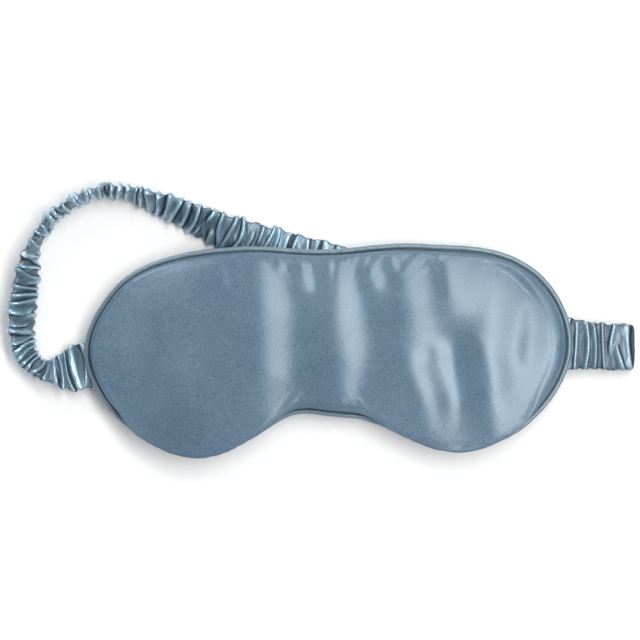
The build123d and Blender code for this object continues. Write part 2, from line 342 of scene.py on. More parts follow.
def wave_noise(x, pitch, key, octaves=2):
    """Smooth noise from -1 to 1 along a line, the same for the same key."""
    values = np.random.default_rng(key).uniform(-1, 1, 4096)
    total, weight, scale = 0.0, 0.0, 1.0
    for octave in range(octaves):
        t = np.asarray(x, float) / (pitch * scale) + 500.0 + 97 * octave
        n = np.floor(t).astype(int)
        f = t - n
        f = f * f * (3 - 2 * f)
        total = total + scale * (values[n % 4096] * (1 - f) + values[(n + 1) % 4096] * f)
        weight += scale
        scale *= 0.5
    return total / weight


# ---------------------------------------------------------------- the mask's outline, from the frame

# Places on the rim in millimetres, and how far outside its symmetrical pattern the soft mask lies there.
LIE = [
    (101.0, 8.0, 2.0),
    (95.0, 18.0, 2.7),
    (88.0, 27.0, 2.5),
    (78.0, 34.0, 2.1),
    (70.0, 38.0, 0.9),
    (60.0, 41.3, -0.5),
    (52.0, 43.0, -1.8),
    (44.0, 44.0, -2.6),
    (28.0, 45.0, -2.8),
    (10.0, 43.4, -1.7),
    (0.0, 42.6, -1.0),
    (-20.0, 44.9, -1.9),
    (-40.0, 44.4, -1.7),
    (-56.0, 42.0, -0.2),
    (-66.0, 39.0, 0.4),
    (-76.0, 35.2, 0.9),
    (-84.0, 30.6, 1.2),
    (-93.0, 21.0, 0.1),
    (-101.0, 5.0, 0.5),
    (-97.5, -14.0, -0.9),
    (-92.0, -22.5, -0.4),
    (-84.0, -31.0, -1.1),
    (-74.0, -37.5, -1.7),
    (-64.0, -42.0, -1.0),
    (-54.0, -43.4, -0.3),
    (-36.0, -37.0, 0.0),
    (-26.0, -31.0, 0.9),
    (-9.0, -25.5, 0.8),
    (0.0, -24.6, 1.6),
    (9.0, -25.5, 2.6),
    (17.5, -27.7, 2.8),
    (26.0, -31.0, 2.0),
    (35.0, -36.5, 0.9),
    (55.0, -43.4, 0.0),
    (69.0, -39.5, -0.5),
    (80.0, -34.0, 0.8),
    (90.0, -25.0, 1.4),
    (97.0, -15.0, 1.3),
]
# How many outline points there are, and over how many of them the moves between those places are smoothed.
OUTLINE_POINTS = 1440
LIE_REACH, LIE_SMOOTHING = 40, 16
SMOOTHING_PASSES = 12


def lie_moves(points):
    """How far each outline point lies outside the pattern, in metres, smoothed between the given places."""
    spots = np.array([(x, y) for x, y, _ in LIE]) * MM
    nearest = np.array([np.linalg.norm(points - spot, axis=1).argmin() for spot in spots])
    order = np.argsort(nearest)
    count = len(points)
    knots, moves = nearest[order], np.array([move for _, _, move in LIE])[order] * MM
    lines = np.interp(
        np.arange(count),
        np.r_[knots - count, knots, knots + count],
        np.r_[moves, moves, moves],
    )
    kernel = bell(np.arange(-LIE_REACH, LIE_REACH + 1), LIE_SMOOTHING)
    kernel /= kernel.sum()
    return np.convolve(np.r_[lines[-LIE_REACH:], lines, lines[:LIE_REACH]], kernel, mode="valid")


def outward_normals(points):
    along = np.roll(points, -1, 0) - np.roll(points, 1, 0)
    along /= np.linalg.norm(along, axis=1)[:, None]
    return np.stack([along[:, 1], -along[:, 0]], axis=1)


def smoothed(points):
    """A closed line with its small corners smoothed away."""
    for _ in range(SMOOTHING_PASSES):
        points = (np.roll(points, 1, 0) + 2 * points + np.roll(points, -1, 0)) / 4
    return points


def read_outline():
    """The cord's middle line as even points round the mask, their outward normals, and its length."""
    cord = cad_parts["piping_cord"].data
    spots = np.array([v.co[:] for v in cord.vertices])
    ridge = spots[spots[:, 2] > spots[:, 2].max() - 0.02 * MM][:, :2]
    angle = np.arctan2(ridge[:, 1], ridge[:, 0])
    order = np.argsort(angle)
    angle, reach = angle[order], np.hypot(ridge[:, 0], ridge[:, 1])[order]
    fine = np.linspace(-np.pi, np.pi, 20001)
    turns = np.r_[angle - 2 * np.pi, angle, angle + 2 * np.pi]
    radius = np.interp(fine, turns, np.r_[reach, reach, reach])
    line = np.stack([radius * np.cos(fine), radius * np.sin(fine)], axis=1)
    travelled = np.r_[0, np.cumsum(np.linalg.norm(np.diff(line, axis=0), axis=1))]
    even = np.linspace(0, travelled[-1], OUTLINE_POINTS, endpoint=False)
    points = smoothed(np.stack([np.interp(even, travelled, line[:, a]) for a in (0, 1)], axis=1))
    points = smoothed(points + outward_normals(points) * lie_moves(points)[:, None])
    return points, outward_normals(points), travelled[-1]


outline, outline_normal, outline_length = read_outline()
cord_low, cord_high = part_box("piping_cord")
piping_low, piping_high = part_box("piping_cover")
front_low, front_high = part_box("front_cover")
back_low, back_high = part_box("back_cover")
seam_z = (cord_low.z + cord_high.z) / 2
piping_radius = (piping_high.z - piping_low.z) / 2
cord_radius = (cord_high.z - cord_low.z) / 2
pad_inset = (cord_high.x - cord_low.x) / 2 - cord_radius - front_high.x
outline_tree = KDTree(len(outline))
for n, spot in enumerate(outline):
    outline_tree.insert((spot[0], spot[1], 0), n)
outline_tree.balance()


# ---------------------------------------------------------------- soft folds of the front panel

# Each fold is a slope to the right that runs down the panel: places x, y with a half width, in
# millimetres, and how steep it is. Negative ones tip to the left.
FOLDS = [
    (0.10, [(-43.5, 44, 2.4), (-42.0, 35, 3.0), (-41.0, 27, 2.4)]),
    (0.15, [(-25.5, 45, 3.6), (-22.5, 34, 6.6), (-20.5, 20, 8.0), (-20.0, 4, 8.8), (-20.5, -9, 8.0)]),
    (0.10, [(-21.0, -8, 7.0), (-19.0, -16, 9.0), (-21.0, -26, 10.0)]),
    (0.11, [(-15.5, 46, 1.8), (-16.5, 40, 1.8), (-18.0, 34, 1.6)]),
    (0.16, [(-7.5, 46, 3.4), (-7.0, 36, 3.8), (-6.5, 25, 3.4)]),
    (
        0.16,
        [
            (6.5, 46, 4.8), (8.0, 34, 4.8), (10.0, 20, 6.2),
            (11.3, 4, 8.0), (11.0, -10, 6.8), (10.0, -22, 4.4),
        ],
    ),
    (0.16, [(17.0, 46, 2.8), (20.0, 38, 3.4), (23.5, 25, 3.6)]),
    (0.12, [(26.5, 46, 1.4), (28.5, 40, 1.7), (31.5, 33, 1.5)]),
    (0.10, [(38.0, 46, 4.8), (38.5, 30, 5.4), (40.5, 14, 6.6), (42.0, 0, 7.4)]),
    (0.14, [(39.5, -1, 5.0), (38.5, -10, 4.2), (42.0, -22, 3.8), (48.0, -36, 4.8)]),
    (0.13, [(49.0, 2, 3.6), (51.5, -10, 3.2), (54.0, -22, 3.2), (54.0, -36, 3.8)]),
    (0.05, [(46.0, -6, 4.0), (47.0, -20, 4.0)]),
    (0.11, [(59.0, 46, 8.0), (59.0, 30, 9.5), (58.0, 14, 7.5)]),
    (
        0.12,
        [
            (76.0, 46, 10.0), (77.0, 30, 9.5), (75.0, 12, 8.0),
            (73.0, -4, 6.5), (75.0, -20, 7.0), (76.0, -34, 7.0),
        ],
    ),
    (0.03, [(88.0, 38, 4.0), (90.0, 24, 3.5), (90.0, 4, 3.5), (88.0, -14, 4.0), (83.0, -30, 5.0)]),
    (-0.13, [(-21.0, 47, 1.4), (-20.5, 40, 1.6), (-20.0, 36, 1.2)]),
    (-0.10, [(45.5, 46, 2.6), (48.0, 34, 3.4), (50.0, 22, 2.6)]),
    (-0.20, [(59.0, 5, 3.4), (61.0, -8, 6.4), (62.5, -22, 6.0), (61.5, -42, 5.0)]),
    (-0.07, [(84.0, 18, 2.8), (83.5, 4, 3.8), (82.0, -7, 2.6)]),
    (0.06, [(-61.0, -6, 4.5), (-58.0, -15, 3.5), (-56.5, -24, 2.4)]),
]
# The height map's grid in millimetres, the panel's own slope, how strongly the folds show, how stiffly
# heights stay even down the panel, and over how many millimetres a fold's height fades away.
RASTER = 0.5
BASE_SLOPE = 0.03
FOLD_GAIN = 1.35
ACROSS_STIFFNESS = 0.15
FOLD_SPAN = 45.0
FOLD_BLUR, FOLD_BLUR_REACH = 8, 14


def fold_line(ys, y, values):
    """A fold's middle or half width at each row of the map, drawn through its places and softened."""
    blur = bell(np.arange(-FOLD_BLUR_REACH, FOLD_BLUR_REACH + 1), FOLD_BLUR)
    padded = np.pad(np.interp(ys, y, values), FOLD_BLUR_REACH, mode="edge")
    return np.convolve(padded, blur / blur.sum(), mode="valid")


def fold_heights():
    """The front panel's folds as a height map: the smooth surface whose slopes come nearest to the sum."""
    xs = np.arange(-115, 115.01, RASTER)
    ys = np.arange(-60, 60.01, RASTER)
    grid_x, grid_y = np.meshgrid(xs, ys)
    slope = BASE_SLOPE * np.tanh((grid_x - 20) / 40)
    for n, (steep, places) in enumerate(FOLDS):
        x, y, width = (np.array(column, float)[::-1] for column in zip(*places))
        centre, reach = fold_line(ys, y, x), fold_line(ys, y, width)
        centre = centre + 0.10 * reach * wave_noise(ys, 7.0, 11 + n)
        ends = smooth_step(ys, y[0] - 3.5, y[0] + 2.5) * smooth_step(-ys, -y[-1] - 3.5, 2.5 - y[-1])
        strength = ends * (1 + 0.12 * wave_noise(ys, 9.0, 41 + n))
        profile = np.exp(-(np.abs(grid_x - centre[:, None]) / reach[:, None]) ** 2.3)
        slope += FOLD_GAIN * steep * strength[:, None] * profile
    wave_x = 2 * np.pi * np.fft.fftfreq(len(xs), RASTER)[None, :]
    wave_y = 2 * np.pi * np.fft.fftfreq(len(ys), RASTER)[:, None]
    stiffness = wave_x**2 + ACROSS_STIFFNESS * wave_y**2 + 1 / FOLD_SPAN**2
    return xs, ys, np.real(np.fft.ifft2(1j * wave_x * np.fft.fft2(slope) / stiffness))


fold_xs, fold_ys, fold_map = fold_heights()


def fold_height(x, y):
    """Fold height in metres at places in metres."""
    column = np.clip((x / MM - fold_xs[0]) / RASTER, 0, len(fold_xs) - 1.001)
    row = np.clip((y / MM - fold_ys[0]) / RASTER, 0, len(fold_ys) - 1.001)
    i, j = row.astype(int), column.astype(int)
    a, b = row - i, column - j
    return MM * (
        fold_map[i, j] * (1 - a) * (1 - b)
        + fold_map[i + 1, j] * a * (1 - b)
        + fold_map[i, j + 1] * (1 - a) * b
        + fold_map[i + 1, j + 1] * a * b
    )


# ---------------------------------------------------------------- the padded mask

# The pad's grids, the roundness and fullness of its edges, how far it hangs over the piping, and the
# thickness and spacing of its layers.
PANEL_COLUMNS, PANEL_ROWS = 260, 130
LINING_COLUMNS, LINING_ROWS = 130, 65
EDGE_ROUND = 2.0 * MM
RIGHT_ROUND = 5.0 * MM
EDGE_FULLNESS = 2.2
EDGE_SHARE = 0.50
SIDE_EDGE_SHARE = 0.68
CROWN_REACH = 32 * MM
CROWN = 0.2 * MM
BACK_ROUND = 2.4 * MM
OVERHANG = 3.8 * MM
PUCKER_PITCH = 3.4 * MM
RIM_RADIUS = 85 * MM
PANEL_CLOTH = 0.3 * MM
LAYER_STEP = 0.55 * MM
FILL_STEP = 2.2 * LAYER_STEP


def panel_places(inset, columns=PANEL_COLUMNS, rows=PANEL_ROWS):
    """A grid of x, y places over the mask, squares stretched to its outline, with the outline inset."""
    edge = outline - outline_normal * inset
    half_x, half_y = np.abs(edge[:, 0]).max(), np.abs(edge[:, 1]).max()
    turn = np.arctan2(edge[:, 1] / half_y, edge[:, 0] / half_x)
    scale = np.hypot(edge[:, 0] / half_x, edge[:, 1] / half_y)
    order = np.argsort(turn)
    turn, scale = turn[order], scale[order]
    u, v = np.meshgrid(np.linspace(-1, 1, columns), np.linspace(-1, 1, rows))
    disc_x, disc_y = u * np.sqrt(1 - v * v / 2), v * np.sqrt(1 - u * u / 2)
    stretch = np.interp(
        np.arctan2(disc_y, disc_x),
        np.r_[turn - 2 * np.pi, turn, turn + 2 * np.pi],
        np.r_[scale, scale, scale],
    )
    return (disc_x * half_x * stretch).ravel(), (disc_y * half_y * stretch).ravel()


def edge_distances(x, y):
    """Each place's distance from the outline, and which outline point is nearest."""
    found = [outline_tree.find((a, b, 0)) for a, b in zip(x, y)]
    return np.array([f[2] for f in found]), np.array([f[1] for f in found])


def along_rim(x, y):
    """About how far along the rim each place is, in metres, by its direction from the middle."""
    return RIM_RADIUS * np.arctan2(y / outline[:, 1].max(), x / outline[:, 0].max())


def front_points(inset, drop, columns=PANEL_COLUMNS, rows=PANEL_ROWS):
    """The front of the pad, or a layer beneath it: full at the edge, crowned, folded and puckered."""
    x, y = panel_places(pad_inset + inset, columns, rows)
    distance, nearest = edge_distances(x, y)
    rim_x, rim_y = outline[nearest].T
    depth = np.clip(distance - pad_inset - inset, 0, None)
    t = np.clip(depth / (EDGE_ROUND + RIGHT_ROUND * smooth_step(x, 80 * MM, 98 * MM)), 0, 1)
    dome = (1 - (1 - t) ** EDGE_FULLNESS) ** (1 / EDGE_FULLNESS)
    crown = 1 - (1 - np.clip(depth / CROWN_REACH, 0, 1)) ** 2
    height = front_high.z + CROWN - front_low.z - drop
    ends = smooth_step(np.abs(rim_x), 66 * MM, 96 * MM)
    edge_share = EDGE_SHARE + (SIDE_EDGE_SHARE - EDGE_SHARE) * ends
    z = front_low.z + height * (edge_share * dome + (1 - edge_share) * crown)
    right_end = smooth_step(x, 70 * MM, 95 * MM)
    z += fold_height(x, y) * smooth_step(depth, -0.5 * MM, (5 + 3 * right_end) * MM)
    upper = smooth_step(rim_y, 20 * MM, 36 * MM) * smooth_step(x, -40 * MM, -10 * MM)
    pucker = wave_noise(along_rim(x, y), PUCKER_PITCH, 21) * np.exp(-depth / (4.5 * MM))
    z += pucker * smooth_step(depth, 0, 1.5 * MM) * (0.15 + 0.55 * upper) * MM
    low_edge = smooth_step(-rim_y, 20 * MM, 34 * MM) * (1 - 0.5 * smooth_step(x, 62 * MM, 86 * MM))
    bulge = smooth_step(depth, 0.3 * MM, 1.6 * MM) * (1 - smooth_step(depth, 2.5 * MM, 15 * MM))
    layer_share = 1 - 0.7 * min(1, inset / LAYER_STEP)
    push = (OVERHANG * layer_share * low_edge * bulge)[:, None] * outline_normal[nearest]
    return np.stack([x + push[:, 0], y + push[:, 1], z], axis=1)


def back_points(inset, rise, columns=PANEL_COLUMNS, rows=PANEL_ROWS):
    """The back of the pad, or a layer above it: nearly flat, with slack cloth and puckers at the seam."""
    x, y = panel_places(pad_inset + inset, columns, rows)
    distance, nearest = edge_distances(x, y)
    depth = np.clip(distance - pad_inset - inset, 0, None)
    t = np.clip(depth / BACK_ROUND, 0, 1)
    dish = 1 - np.sqrt(np.clip(1 - (1 - t) ** 2, 0, 1))
    z = back_low.z + rise + (back_high.z - back_low.z - rise) * dish
    pucker = wave_noise(along_rim(x, y), PUCKER_PITCH, 33) * np.exp(-depth / (4 * MM))
    pucker *= smooth_step(depth, 0, 2 * MM)
    slack = 0.5 + 0.5 * wave_noise(x + 0.3 * y, 16 * MM, 35) * np.cos(y / (30 * MM))
    z -= (0.12 + 0.14 * pucker + 0.2 * slack * smooth_step(depth, 2 * MM, 12 * MM)) * MM
    return np.stack([x, y, z], axis=1)


def layer(name, points, material, columns, rows, upward=True):
    """A sheet of cloth over a grid of points, whose thickness lies on the pad's side of them."""
    faces = grid_faces(rows, columns)
    piece = mesh_object(name, points, faces if upward else faces[:, ::-1], material)
    apply_modifier(piece, "SOLIDIFY", thickness=PANEL_CLOTH, offset=-1.0)
    return piece


def lining(name, points, upward=True):
    return layer(name, points, lining_cloth, LINING_COLUMNS, LINING_ROWS, upward)


# The front panel's cloth pass: its grid and frames, how far its points may move and sink, and its cloth.
SETTLE_COLUMNS, SETTLE_ROWS = 190, 95
SETTLE_FRAMES = 20
SETTLE_REACH = 1.0 * MM
SETTLE_SINK = 0.12 * MM
SETTLE_PRESSURE = 3.0
SETTLE_GROWTH = 0.06
SETTLE_SETTINGS = dict(
    quality=6,
    mass=0.04,
    tension_stiffness=12,
    compression_stiffness=12,
    shear_stiffness=4,
    bending_stiffness=0.03,
    air_damping=2,
)


def seam_freedom(points):
    """How freely each place of the front panel moves: not at all in the seam, most beside it."""
    depth = edge_distances(points[:, 0], points[:, 1])[0] - pad_inset
    return smooth_step(depth, 0.2 * MM, 2.5 * MM) * (1 - 0.7 * smooth_step(depth, 8 * MM, 22 * MM))


def settle_front():
    """Blows the front panel up as cloth that is held at its seam and a little too big for it.

    Returns how far each point moves, as a grid of rows and columns.
    """
    points = front_points(0, 0, SETTLE_COLUMNS, SETTLE_ROWS)
    piece = mesh_object("settling", points, grid_faces(SETTLE_ROWS, SETTLE_COLUMNS), panel_satin)
    pin, grow = piece.vertex_groups.new(name="pin"), piece.vertex_groups.new(name="grow")
    top = smooth_step(points[:, 1], 15 * MM, 35 * MM) * smooth_step(points[:, 0], -60 * MM, -20 * MM)
    for n, free in enumerate(seam_freedom(points)):
        grow.add([n], 0.35 + 0.65 * float(top[n]), "REPLACE")
        if free <= 0:
            pin.add([n], 1.0, "REPLACE")
    modifier = piece.modifiers.new("settle", "CLOTH")
    cloth = modifier.settings
    for key, value in SETTLE_SETTINGS.items():
        setattr(cloth, key, value)
    cloth.use_pressure = True
    cloth.uniform_pressure_force = SETTLE_PRESSURE
    cloth.vertex_group_mass = "pin"
    cloth.vertex_group_shrink = "grow"
    cloth.shrink_min, cloth.shrink_max = 0.0, -SETTLE_GROWTH
    cloth.effector_weights.gravity = 0
    modifier.point_cache.frame_end = SETTLE_FRAMES
    for n in range(1, SETTLE_FRAMES + 1):
        bpy.context.scene.frame_set(n)
    settled = piece.evaluated_get(bpy.context.evaluated_depsgraph_get()).data
    moved = np.empty(len(points) * 3)
    settled.vertices.foreach_get("co", moved)
    moves = moved.reshape(-1, 3) - points
    bpy.data.objects.remove(piece)
    bpy.context.scene.frame_set(1)
    size = np.linalg.norm(moves, axis=1, keepdims=True)
    moves *= SETTLE_REACH * np.tanh(size / SETTLE_REACH) / np.maximum(size, 1e-9)
    moves[:, 2] = np.maximum(moves[:, 2], -SETTLE_SINK)
    return moves.reshape(SETTLE_ROWS, SETTLE_COLUMNS, 3)


def drawn_out(grid, rows, columns):
    """A grid of moves drawn out to more rows and columns, and smoothed."""
    for axis, count in ((0, rows), (1, columns)):
        at = np.linspace(0, grid.shape[axis] - 1, count)
        low = np.clip(at.astype(int), 0, grid.shape[axis] - 2)
        part = (at - low).reshape((-1, 1, 1) if axis == 0 else (1, -1, 1))
        grid = np.take(grid, low, axis) * (1 - part) + np.take(grid, low + 1, axis) * part
    for axis in (0, 1) * 5:
        ends = np.pad(grid, [(1, 1) if n == axis else (0, 0) for n in range(3)], mode="edge")
        count = grid.shape[axis]
        before, after = np.take(ends, np.arange(count), axis), np.take(ends, np.arange(2, count + 2), axis)
        grid = 0.5 * grid + 0.25 * (before + after)
    return grid


def front_panel_points():
    points = front_points(0, 0)
    moves = drawn_out(settle_front(), PANEL_ROWS, PANEL_COLUMNS)
    points += moves.reshape(-1, 3) * seam_freedom(points)[:, None]
    return points


def fill_body():
    """The wadding: one closed body between the two linings."""
    columns, rows = LINING_COLUMNS, LINING_ROWS
    top = front_points(FILL_STEP, FILL_STEP, columns, rows)
    bottom = back_points(FILL_STEP, FILL_STEP, columns, rows)
    count = columns * rows
    ring = np.r_[
        np.arange(columns),
        np.arange(2, rows + 1) * columns - 1,
        np.arange(count - 2, count - columns - 1, -1),
        np.arange(rows - 2, 0, -1) * columns,
    ]
    after = np.roll(ring, -1)
    side = np.stack([ring, ring + count, after + count, after], axis=1)
    upper = grid_faces(rows, columns)
    faces = np.vstack([upper, upper[:, ::-1] + count, side])
    return mesh_object("wadding", np.vstack([top, bottom]), faces, wadding_fluff)


panel_grid = PANEL_COLUMNS, PANEL_ROWS
lining_grid = LINING_COLUMNS, LINING_ROWS
front_panel = layer("front_panel", front_panel_points(), panel_satin, *panel_grid)
back_panel = layer("back_panel", back_points(0, 0), panel_satin, *panel_grid, upward=False)
front_lining = lining("front_lining", front_points(LAYER_STEP, LAYER_STEP, *lining_grid))
back_lining = lining("back_lining", back_points(LAYER_STEP, LAYER_STEP, *lining_grid), upward=False)

# Each piece of the pad, the node it stands for, and the name of its slot.
pad_pieces = [
    (front_panel, "front_cover", "satin"),
    (back_panel, "back_cover", "satin"),
    (front_lining, "front_liner", "lining"),
    (back_lining, "back_liner", "lining"),
    (fill_body(), "filling", "wadding"),
]
for piece, node, record_slot in pad_pieces:
    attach(piece, "mask")
    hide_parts(node)


# ---------------------------------------------------------------- piping

PIPING_SIDES = 18
CORE_RADIUS = 0.65 * MM
FLANGE_WIDTH = 6.0 * MM
FLANGE_HALF = 0.2 * MM
# Fades the piping's unevenness out where its line ends and begins.
JOIN_TAPER = np.sin(np.pi * np.arange(len(outline)) / len(outline)) ** 0.3


def piping_line():
    """The piping's middle line, how high it lies, and how far along it each point is.

    It stands off the panel at the upper right and beside the notch, and wavers a little.
    """
    x, y = outline.T
    rim = np.arange(len(outline)) / len(outline) * outline_length
    upper_right = smooth_step(x, 0.0, 50 * MM) * smooth_step(y, 12 * MM, 32 * MM)
    notch = smooth_step(-y, 20 * MM, 24 * MM) * bell(x - 13 * MM, 16 * MM)
    stand_off = np.maximum(upper_right * 0.6, notch)
    waver = (0.10 + 0.16 * stand_off) * wave_noise(rim, 9 * MM, 51)
    shift = (stand_off + waver * JOIN_TAPER) * MM
    spots = outline + outline_normal * shift[:, None]
    height = seam_z + (0.12 * wave_noise(rim, 14 * MM, 53) * JOIN_TAPER) * MM
    return spots, height, rim


def build_rim_tube(name, radius, wrinkle, material, flange=0.0):
    """A round tube along the piping's line, with a flat flange into the seam where one is asked for."""
    spots, height, rim = piping_line()
    around = np.linspace(0, 2 * np.pi, PIPING_SIDES, endpoint=False)
    count = len(spots)
    points = np.zeros((count, PIPING_SIDES, 3))
    for n, angle in enumerate(around):
        skew = rim + 1.3 * radius * angle
        bumps = wave_noise(skew, 1.5 * MM, 61) * 0.6 + wave_noise(skew, 4.0 * MM, 62) * 0.4
        size = radius * (1 + wrinkle * bumps * JOIN_TAPER)
        points[:, n, :2] = spots + outline_normal * (size * math.cos(angle))[:, None]
        points[:, n, 2] = height + size * math.sin(angle)
    faces = grid_faces(count, PIPING_SIDES, closed_rows=True, closed_columns=True)
    points = points.reshape(-1, 3)
    if flange:
        inner = outline - outline_normal * flange
        first = len(points)
        for level in (height - FLANGE_HALF, height + FLANGE_HALF):
            points = np.vstack([points, np.column_stack([spots, level]), np.column_stack([inner, level])])
        ring = np.arange(count)
        after = (ring + 1) % count
        outer_low, inner_low, outer_high, inner_high = (first + n * count for n in range(4))
        sides = [(outer_low, inner_low), (inner_low, inner_high), (inner_high, outer_high)]
        strips = [np.stack([a + ring, a + after, b + after, b + ring], axis=1) for a, b in sides]
        faces = np.vstack([faces] + strips)
    return mesh_object(name, points, faces, material)


piping = build_rim_tube("piping", piping_radius, 0.07, piping_satin, flange=FLANGE_WIDTH)
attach(piping, "mask")
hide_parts("piping_cover")

piping_core = build_rim_tube("piping_core", CORE_RADIUS, 0.05, cord_cotton)
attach(piping_core, "mask")
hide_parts("piping_cord")


# ---------------------------------------------------------------- the strap's route

# The strap's thickness and heights, the heading of its hidden run, and where the tab at the right folds,
# in millimetres and degrees.
SLEEVE_THICK = 4.2
SEWN_Z = 1.5
FRONT_LAYER_Z = table_z / MM + SLEEVE_THICK / 2 + 5.0
LYING_Z = table_z / MM + SLEEVE_THICK / 2
ARM_HEADING = -18.8
FOLD_X = 126.0
FOLD_RETURN_X = 117.7

# The strap's loop beside the mask, in millimetres and degrees: x, y, heading, twist, half width. Twist
# lifts its outer side.
LOOP = [
    (-111.0, -6.0, 184, 10, 7.9),
    (-116.2, -6.2, 180, 34, 6.0),
    (-121.5, -5.0, 163, 50, 5.2),
    (-126.6, -0.8, 125, 48, 5.1),
    (-129.1, 7.6, 97, 44, 5.7),
    (-129.1, 16.0, 86, 44, 6.4),
    (-128.2, 24.5, 81, 46, 6.7),
    (-126.4, 34.6, 77, 54, 6.6),
    (-124.2, 44.8, 70, 74, 6.4),
    (-120.7, 51.5, 60, 80, 6.3),
    (-116.1, 58.1, 48, 84, 6.3),
    (-107.2, 64.7, 28, 84, 6.3),
    (-94.2, 69.8, 8, 82, 6.3),
    (-81.0, 68.3, -16, 72, 6.6),
    (-68.9, 63.6, -21, 56, 7.0),
    (-56.0, 57.9, -22, 38, 7.1),
    (-43.7, 52.2, -21, 20, 7.1),
    (-26.9, 46.6, -18.8, 0, 7.2),
]


def strap_stations():
    """Place, direction across and half sizes at each station, from the left seam to the right."""
    places, acrosses, sizes = [], [], []

    def put(place, across, half_width, half_thick):
        places.append(place)
        acrosses.append(across)
        sizes.append((half_width, half_thick))

    for x in (-94.0, -99.0, -103.5):
        put((x, -4.1, SEWN_Z), (0, -1, 0), 9.3, 0.85)
    for x, y, heading, twist, half_width in LOOP:
        run, lean = math.radians(heading), math.radians(twist)
        rise = half_width * abs(math.sin(lean)) + SLEEVE_THICK / 2 * abs(math.cos(lean))
        flat = (-math.sin(run) * math.cos(lean), math.cos(run) * math.cos(lean), math.sin(lean))
        put((x, y, table_z / MM + rise), flat, half_width, 0.95)
    run = math.radians(ARM_HEADING)
    across = (-math.sin(run), math.cos(run), 0)
    start_x, start_y = LOOP[-1][:2]
    for x in (10.0, 50.0, 85.0, 108.0):
        put((x, start_y + (x - start_x) * math.tan(run), LYING_Z), across, 8.6, 0.95)
    put((FOLD_RETURN_X, -1.9, LYING_Z), (0.16, 0.987, 0), 9.4, 0.95)
    put((FOLD_X - 0.5, -1.9, LYING_Z), (0.05, 0.999, 0), 9.3, 1.0)
    middle_z = (LYING_Z + FRONT_LAYER_Z) / 2
    put((FOLD_X + 4.0, -2.0, middle_z), (0.03, 1, 0), 9.0, 1.0)
    put((FOLD_X - 0.5, -2.0, FRONT_LAYER_Z), (0.03, 1, 0), 9.2, 1.0)
    put((FOLD_RETURN_X, -1.6, FRONT_LAYER_Z), (0.03, 1, 0), 9.4, 1.0)
    put((110.0, -1.1, FRONT_LAYER_Z - 0.2), (0, 1, 0), 9.6, 1.0)
    put((103.5, -0.8, SEWN_Z + 0.2), (0, 1, 0), 9.9, 0.9)
    put((99.0, -0.8, SEWN_Z), (0, 1, 0), 9.8, 0.8)
    put((94.0, -0.8, SEWN_Z), (0, 1, 0), 9.8, 0.8)
    return np.array(places, float), np.array(acrosses, float), np.array(sizes, float)


def smooth_through(values, knots, at):
    """A smooth curve through values at knots, by cubic pieces whose slopes come from the neighbours."""
    slopes = np.gradient(values, knots, axis=0)
    n = np.clip(np.searchsorted(knots, at, side="right") - 1, 0, len(knots) - 2)
    gap = knots[n + 1] - knots[n]
    t = (at - knots[n]) / gap
    shape = (-1,) + (1,) * (values.ndim - 1)
    t, gap = t.reshape(shape), gap.reshape(shape)
    a, b, c, d = values[n], values[n + 1], slopes[n] * gap, slopes[n + 1] * gap
    from_start, from_end = 2 * t**3 - 3 * t**2 + 1, 3 * t**2 - 2 * t**3
    leaving, arriving = t**3 - 2 * t**2 + t, t**3 - t**2
    return a * from_start + c * leaving + b * from_end + d * arriving


def strap_frames(step):
    """Evenly spaced frames along the strap in millimetres: how far, place, directions and half sizes."""
    places, acrosses, sizes = strap_stations()
    knots = np.r_[0, np.cumsum(np.linalg.norm(np.diff(places, axis=0), axis=1))]
    fine = np.linspace(0, knots[-1], 6000)
    line = smooth_through(places, knots, fine)
    travelled = np.r_[0, np.cumsum(np.linalg.norm(np.diff(line, axis=0), axis=1))]
    count = int(travelled[-1] / step)
    knot_at = np.interp(np.linspace(0, travelled[-1], count), travelled, fine)
    place = smooth_through(places, knots, knot_at)
    across = smooth_through(acrosses, knots, knot_at)
    size = smooth_through(sizes, knots, knot_at)
    along = np.gradient(place, axis=0)
    along /= np.linalg.norm(along, axis=1)[:, None]
    across -= along * (across * along).sum(1)[:, None]
    across /= np.linalg.norm(across, axis=1)[:, None]
    return np.linspace(0, travelled[-1], count), place, along, across, np.cross(along, across), size


STRAP_STEP = 0.34
run_at, run_place, run_along, run_across, run_up, run_size = strap_frames(STRAP_STEP)
run_length = run_at[-1]


def distance_along(x, y, z):
    """How far along the strap the nearest frame to a place is, in millimetres."""
    return run_at[np.linalg.norm(run_place - np.array([x, y, z]), axis=1).argmin()]


# How far along the strap its runs meet, and where the mask begins to hide it, in millimetres.
left_joint = distance_along(-128.3, 4.5, 3.3)
middle_start = distance_along(-117.9, 50.2, 5.0)
middle_end = distance_along(-77.4, 66.6, 5.0)
fold_joint = run_at[(run_place[:, 0] < FOLD_RETURN_X) & (run_place[:, 2] < 0) & (run_at > middle_end)][-1]
hidden_start = distance_along(-20.0, 45.0, LYING_Z)


# ---------------------------------------------------------------- the gathered sleeve

SLEEVE_SIDES = 72
SQUARENESS = 2 / 3
SLEEVE_CLOTH = 0.22
HIDDEN_LIMIT = 1.4
OPEN_LIMIT = 6.0


def pleat_pitch(at, seam):
    """How far apart pleats are, in millimetres: closest round the loop."""
    if seam:
        return chance.uniform(3.4, 4.6)
    if at < middle_end:
        return chance.uniform(2.1, 3.6)
    return chance.uniform(2.7, 4.6)


